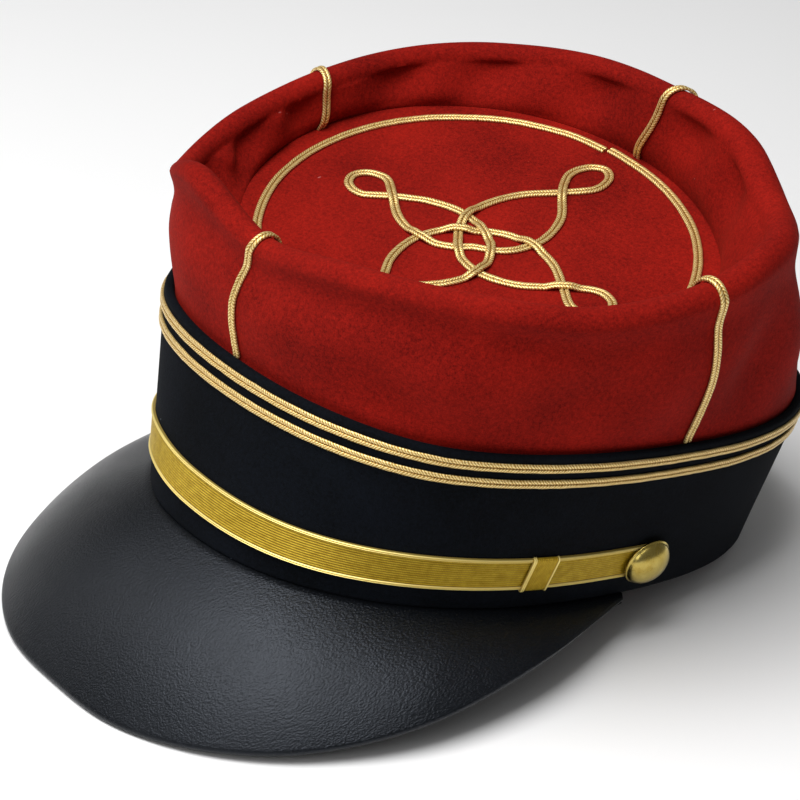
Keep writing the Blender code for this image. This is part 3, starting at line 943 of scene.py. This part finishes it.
def set_stops(ramp, *stops):
    """Gives a colour ramp its stops, each a position and an sRGB hex colour."""
    elements = ramp.color_ramp.elements
    for index, (position, hex_code) in enumerate(stops):
        stop = elements[index] if index < 2 else elements.new(position)
        stop.position, stop.color = position, colour(hex_code)


def new_material(name, **values):
    """A material with its Principled shader's plain values set, and where it is seen from."""
    made = bpy.data.materials.new(name)
    made.use_nodes = True
    tree = made.node_tree
    shader = tree.nodes["Principled BSDF"]
    for key, value in values.items():
        shader.inputs[key.replace("_", " ")].default_value = value
    place = node(tree, "ShaderNodeTexCoord", {}).outputs["Object"]
    return made, tree, shader, place


def milled_wool(name, deep, lit, sheen_tint, sheen, lint):
    """Milled wool broadcloth: a short dense nap hides the weave, so it is matt, mottled where
    the nap lies both ways, softly paler where it turns away, and carries a few specks of lint."""
    made, tree, shader, place = new_material(
        name,
        Roughness=0.9,
        Specular_IOR_Level=0.08,
        Sheen_Weight=sheen,
        Sheen_Roughness=0.4,
        Sheen_Tint=colour(sheen_tint),
    )
    # Fibre clumps of about 1.2 mm, threads of about 0.5 mm, drawn coarser than the real 0.2 mm,
    # and slow clouding of about 30 mm
    clump = node(
        tree, "ShaderNodeTexNoise", {"Vector": place, "Scale": 850, "Detail": 5, "Roughness": 0.7}
    ).outputs["Fac"]
    fibre = node(
        tree, "ShaderNodeTexNoise", {"Vector": place, "Scale": 2300, "Detail": 3, "Roughness": 0.7}
    ).outputs["Fac"]
    cloud = node(
        tree, "ShaderNodeTexNoise", {"Vector": place, "Scale": 33, "Detail": 2}
    ).outputs["Fac"]
    nap = node(tree, "ShaderNodeMix", {"Factor": 0.5, "A": clump, "B": fibre}).outputs["Result"]
    mixed = node(tree, "ShaderNodeMix", {"Factor": 0.25, "A": nap, "B": cloud}).outputs["Result"]
    ramp = node(tree, "ShaderNodeValToRGB", {"Fac": mixed})
    set_stops(ramp, (0.38, deep), (0.62, lit))
    # Lint: threads about 0.4 mm thick and 1 mm long, one in each 11 mm of cloth or air
    drawn = node(
        tree,
        "ShaderNodeMapping",
        {"Vector": place, "Rotation": (0.6, 0.4, 0), "Scale": (1, 0.4, 1)},
    ).outputs["Vector"]
    speck = node(tree, "ShaderNodeTexVoronoi", {"Vector": drawn, "Scale": 90}).outputs["Distance"]
    lint_there = node(
        tree,
        "ShaderNodeMapRange",
        {"Value": speck, "From Min": 0.030, "From Max": 0.016, "To Min": 0.0, "To Max": 0.6},
    ).outputs["Result"]
    worn = node(
        tree,
        "ShaderNodeMix",
        {"Factor": lint_there, 6: ramp.outputs["Color"], 7: colour(lint)},
        data_type="RGBA",
    ).outputs[2]
    tree.links.new(worn, shader.inputs["Base Color"])
    bump = node(tree, "ShaderNodeBump", {"Strength": 0.6, "Distance": 0.0003, "Height": nap})
    tree.links.new(bump.outputs["Normal"], shader.inputs["Normal"])
    return made


def grained_leather():
    """Calf leather, pigmented and lightly glazed: its fine drawn-out pebble, about 0.5 mm,
    breaks a soft bluish sheen into flecks, and between them it is nearly black."""
    made, tree, shader, place = new_material(
        "calf_leather",
        Specular_IOR_Level=0.31,
        Specular_Tint=colour("D6DFEE"),
        Coat_Weight=0.04,
        Coat_Roughness=0.35,
    )
    drawn = node(
        tree, "ShaderNodeMapping", {"Vector": place, "Rotation": (0, 0, 0.8), "Scale": (1, 0.55, 1)}
    ).outputs["Vector"]
    warp = node(
        tree, "ShaderNodeTexNoise", {"Vector": drawn, "Scale": 420, "Detail": 3}
    ).outputs["Color"]
    warped = node(
        tree, "ShaderNodeMix", {"Factor": 0.0012, 4: drawn, 5: warp}, data_type="VECTOR"
    ).outputs[1]
    pebble = node(
        tree, "ShaderNodeTexVoronoi", {"Vector": warped, "Scale": 1900}, feature="SMOOTH_F1"
    ).outputs["Distance"]
    grain = node(
        tree, "ShaderNodeTexNoise", {"Vector": drawn, "Scale": 2300, "Detail": 4, "Roughness": 0.65}
    ).outputs["Fac"]
    cloud = node(
        tree, "ShaderNodeTexNoise", {"Vector": place, "Scale": 40, "Detail": 3}
    ).outputs["Fac"]
    relief = node(
        tree, "ShaderNodeMix", {"Factor": 0.5, "A": pebble, "B": grain}
    ).outputs["Result"]
    rough = node(
        tree,
        "ShaderNodeMapRange",
        {"Value": cloud, "From Min": 0.3, "From Max": 0.7, "To Min": 0.28, "To Max": 0.37},
    ).outputs["Result"]
    tone = node(tree, "ShaderNodeValToRGB", {"Fac": relief})
    set_stops(tone, (0.3, "0D0F13"), (0.7, "050607"))
    bump = node(
        tree, "ShaderNodeBump", {"Strength": 0.9, "Distance": 0.0003, "Height": relief}, invert=True
    )
    tree.links.new(rough, shader.inputs["Roughness"])
    tree.links.new(tone.outputs["Color"], shader.inputs["Base Color"])
    tree.links.new(bump.outputs["Normal"], shader.inputs["Normal"])
    return made


def gold_soutache():
    """Soutache of gilt foil thread plaited over two cores: the turns of foil slope in to the
    hollow between the strands, carry a painted cream glint and leave small brown gaps between
    them. The colour is also painted darker towards that hollow, as painted shade."""
    made, tree, shader, _ = new_material("gold_soutache", Metallic=0.6, Roughness=0.4)
    run_across = node(tree, "ShaderNodeUVMap", {}, uv_map="thread").outputs["UV"]
    parts = node(tree, "ShaderNodeSeparateXYZ", {"Vector": run_across})
    side = node(tree, "ShaderNodeMath", {0: parts.outputs["Y"]}, operation="ABSOLUTE").outputs[0]
    # Turns of foil about 0.95 mm apart along the braid
    lean = node(
        tree, "ShaderNodeMath", {0: side, 1: 0.9, 2: parts.outputs["X"]}, operation="MULTIPLY_ADD"
    ).outputs[0]
    wobble = node(
        tree, "ShaderNodeTexNoise", {"Vector": run_across, "Scale": 0.9, "Detail": 2}
    ).outputs["Fac"]
    shifted = node(
        tree, "ShaderNodeMath", {0: wobble, 1: 1.1, 2: lean}, operation="MULTIPLY_ADD"
    ).outputs[0]
    phase = node(
        tree, "ShaderNodeMath", {0: shifted, 1: 2 * math.pi / 0.95}, operation="MULTIPLY"
    ).outputs[0]
    wave = node(tree, "ShaderNodeMath", {0: phase}, operation="SINE").outputs[0]
    foil = node(
        tree, "ShaderNodeMath", {0: wave, 1: 0.5, 2: 0.5}, operation="MULTIPLY_ADD"
    ).outputs[0]
    speck = node(
        tree,
        "ShaderNodeTexNoise",
        {"Vector": run_across, "Scale": 2.4, "Detail": 3, "Roughness": 0.7},
    ).outputs["Fac"]
    mixed = node(tree, "ShaderNodeMix", {"Factor": 0.62, "A": foil, "B": speck}).outputs["Result"]
    # Painted shade: the colour is darkened towards the hollow between the two strands
    painted_groove_shade = node(
        tree,
        "ShaderNodeMapRange",
        {"Value": side, "From Min": 0.04, "From Max": 0.30, "To Min": 0.55, "To Max": 1.0},
    ).outputs["Result"]
    glint = node(tree, "ShaderNodeMath", {0: mixed, 1: painted_groove_shade}, operation="MULTIPLY").outputs[0]
    # The pale cream top of this ramp is a painted glint on the turns of foil
    ramp = node(tree, "ShaderNodeValToRGB", {"Fac": glint})
    set_stops(ramp, (0.20, "7A5420"), (0.66, "F8E3A4"), (0.42, "D3A856"))
    bump = node(tree, "ShaderNodeBump", {"Strength": 0.6, "Distance": 0.00016, "Height": glint})
    tree.links.new(ramp.outputs["Color"], shader.inputs["Base Color"])
    tree.links.new(bump.outputs["Normal"], shader.inputs["Normal"])
    return made


def gold_lace():
    """Lace woven of flat gilt thread over stout ribs: a satin yellow with a thin dark line
    between the ribs, fine cross threads, and paler, brighter cords along the edges."""
    made, tree, shader, _ = new_material("gold_lace", Metallic=0.55, Roughness=0.42)
    weave = node(tree, "ShaderNodeUVMap", {}, uv_map="thread").outputs["UV"]
    parts = node(tree, "ShaderNodeSeparateXYZ", {"Vector": weave})
    run, across = parts.outputs["X"], parts.outputs["Y"]
    rib_turn = node(
        tree, "ShaderNodeMath", {0: across, 1: math.pi}, operation="MULTIPLY"
    ).outputs[0]
    rib_wave = node(tree, "ShaderNodeMath", {0: rib_turn}, operation="SINE").outputs[0]
    rib = node(tree, "ShaderNodeMath", {0: rib_wave}, operation="ABSOLUTE").outputs[0]
    line = node(
        tree, "ShaderNodeMapRange", {"Value": rib, "From Min": 0.05, "From Max": 0.55}
    ).outputs["Result"]
    # Cross threads about 0.5 mm apart
    thread_turn = node(
        tree, "ShaderNodeMath", {0: run, 1: 2 * math.pi / 0.5}, operation="MULTIPLY"
    ).outputs[0]
    thread = node(tree, "ShaderNodeMath", {0: thread_turn}, operation="SINE").outputs[0]
    sheen = node(
        tree, "ShaderNodeTexNoise", {"Vector": weave, "Scale": 0.35, "Detail": 4, "Roughness": 0.7}
    ).outputs["Fac"]
    woven = node(
        tree, "ShaderNodeMath", {0: thread, 1: 0.06, 2: sheen}, operation="MULTIPLY_ADD"
    ).outputs[0]
    ground = node(tree, "ShaderNodeValToRGB", {"Fac": woven})
    set_stops(ground, (0.35, "AC8C14"), (0.65, "C8A92E"))
    lined = node(
        tree,
        "ShaderNodeMix",
        {"Factor": line, 6: colour("7C5A0E"), 7: ground.outputs["Color"]},
        data_type="RGBA",
    ).outputs[2]
    side = node(tree, "ShaderNodeMath", {0: across}, operation="ABSOLUTE").outputs[0]
    in_cord = node(
        tree, "ShaderNodeMath", {0: side, 1: LACE_RIBS / 2}, operation="GREATER_THAN"
    ).outputs[0]
    bright = node(tree, "ShaderNodeMath", {0: in_cord, 1: line}, operation="MULTIPLY").outputs[0]
    edged = node(
        tree, "ShaderNodeMix", {"Factor": bright, 6: lined, 7: colour("F6E08A")}, data_type="RGBA"
    ).outputs[2]
    bump = node(tree, "ShaderNodeBump", {"Strength": 0.35, "Distance": 0.0001, "Height": woven})
    tree.links.new(edged, shader.inputs["Base Color"])
    tree.links.new(bump.outputs["Normal"], shader.inputs["Normal"])
    return made


def gilt_brass():
    """Gilt brass, stamped and polished: clear, softly rubbed reflections, a little browner where
    the gilding is thin."""
    made, tree, shader, place = new_material("gilt_brass", Metallic=1.0)
    patch = node(
        tree, "ShaderNodeTexNoise", {"Vector": place, "Scale": 160, "Detail": 4, "Roughness": 0.6}
    ).outputs["Fac"]
    rub = node(
        tree, "ShaderNodeTexNoise", {"Vector": place, "Scale": 1400, "Detail": 3}
    ).outputs["Fac"]
    ramp = node(tree, "ShaderNodeValToRGB", {"Fac": patch})
    set_stops(ramp, (0.3, "AA903F"), (0.62, "CBB768"))
    rough = node(
        tree,
        "ShaderNodeMapRange",
        {"Value": patch, "From Min": 0.3, "From Max": 0.7, "To Min": 0.30, "To Max": 0.20},
    ).outputs["Result"]
    bump = node(tree, "ShaderNodeBump", {"Strength": 0.08, "Distance": 0.0002, "Height": rub})
    tree.links.new(ramp.outputs["Color"], shader.inputs["Base Color"])
    tree.links.new(rough, shader.inputs["Roughness"])
    tree.links.new(bump.outputs["Normal"], shader.inputs["Normal"])
    return made


# Table, light and camera


def make_table():
    """A wide pale table, which fills the view behind the cap."""
    made, _, shader, _ = new_material("pale_table", Roughness=0.9, Specular_IOR_Level=0.1)
    shader.inputs["Base Color"].default_value = colour("F6F6F6")
    maker = bmesh.new()
    bmesh.ops.create_grid(maker, x_segments=1, y_segments=1, size=6)
    mesh = bpy.data.meshes.new("table")
    maker.to_mesh(mesh)
    maker.free()
    mesh.materials.append(made)
    table = bpy.data.objects.new("table", mesh)
    bpy.context.collection.objects.link(table)


def make_light(name, place, aim, size, watts):
    """A softbox at a place, turned to what it lights."""
    lamp = bpy.data.lights.new(name, "AREA")
    lamp.shape = "RECTANGLE"
    lamp.size, lamp.size_y = size
    lamp.energy = watts
    made = bpy.data.objects.new(name, lamp)
    made.location = place
    made.rotation_euler = (Vector(aim) - Vector(place)).to_track_quat("-Z", "Y").to_euler()
    bpy.context.collection.objects.link(made)


def make_world():
    world = bpy.data.worlds.new("studio")
    world.use_nodes = True
    sky = world.node_tree.nodes["Background"]
    sky.inputs["Color"].default_value = colour("FFFFFF")
    sky.inputs["Strength"].default_value = WORLD_STRENGTH
    bpy.context.scene.world = world
    bpy.context.scene.view_settings.view_transform = "Standard"


def make_camera():
    turn, rise, roll = (math.radians(a) for a in (CAMERA_TURN, CAMERA_RISE, CAMERA_ROLL))
    back = Vector(
        (math.sin(turn) * math.cos(rise), -math.cos(turn) * math.cos(rise), math.sin(rise))
    )
    level = Vector((math.cos(turn), math.sin(turn), 0))
    upright = back.cross(level)
    right = level * math.cos(roll) + upright * math.sin(roll)
    up = back.cross(right)
    lens = bpy.data.cameras.new("camera")
    lens.lens = CAMERA_LENS
    lens.shift_x = (IMAGE_PIXELS / 2 - AIM_PIXEL[0]) / IMAGE_PIXELS
    lens.shift_y = (AIM_PIXEL[1] - IMAGE_PIXELS / 2) / IMAGE_PIXELS
    camera = bpy.data.objects.new("camera", lens)
    place = Matrix((right, up, back)).transposed().to_4x4()
    place.translation = Vector(CAMERA_AIM) + back * CAMERA_AWAY
    camera.matrix_world = place
    bpy.context.collection.objects.link(camera)
    bpy.context.scene.camera = camera


make_camera()
make_world()
make_table()
for lamp_name, place, aim, size, watts in LAMPS:
    make_light(lamp_name, place, aim, size, watts)

red_wool = milled_wool("madder_wool", "5A0704", "9A190F", "A2381E", 0.12, "C4716C")
navy_wool = milled_wool("navy_wool", "010203", "0D1118", "3A4254", 0.03, "8C94A4")
leather = grained_leather()
soutache = gold_soutache()
lace = gold_lace()
gilt = gilt_brass()

pieces = [
    (make_band(navy_wool), "band", "navy_wool"),
    (make_crown_wall(red_wool), "crown_wall", "madder_wool"),
    (make_crown_top(red_wool), "crown_top", "madder_wool"),
    (make_peak(leather), "peak", "black_leather"),
    (
        make_row("soutache_row_upper", UPPER_ROW_HEIGHT, soutache, 11),
        "braid_row_upper",
        "gold_braid",
    ),
    (
        make_row("soutache_row_lower", LOWER_ROW_HEIGHT, soutache, 21),
        "braid_row_lower",
        "gold_braid",
    ),
    (make_ring(soutache), "braid_ring", "gold_braid"),
    (make_knot(soutache), "braid_knot", "gold_braid"),
    (make_strap(lace), "chin_strap", "gold_lace"),
]
for seed, (side, *cord_turns) in enumerate(CORD_ROWS, 50):
    pieces.append((make_cord(side, cord_turns, soutache, seed), "braid_" + side, "gold_braid"))
for side, way in (("left", 1), ("right", -1)):
    slide = make_slide("lace_slide_" + side, way * SLIDER_ANGLE, lace)
    button = make_button("domed_button_" + side, way * BUTTON_ANGLE, gilt)
    pieces.append((slide, "slider_" + side, "gold_lace"))
    pieces.append((button, "button_" + side, "gilt_brass"))
for piece, solid, finish in pieces:
    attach(piece, "root")
    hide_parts(solid)
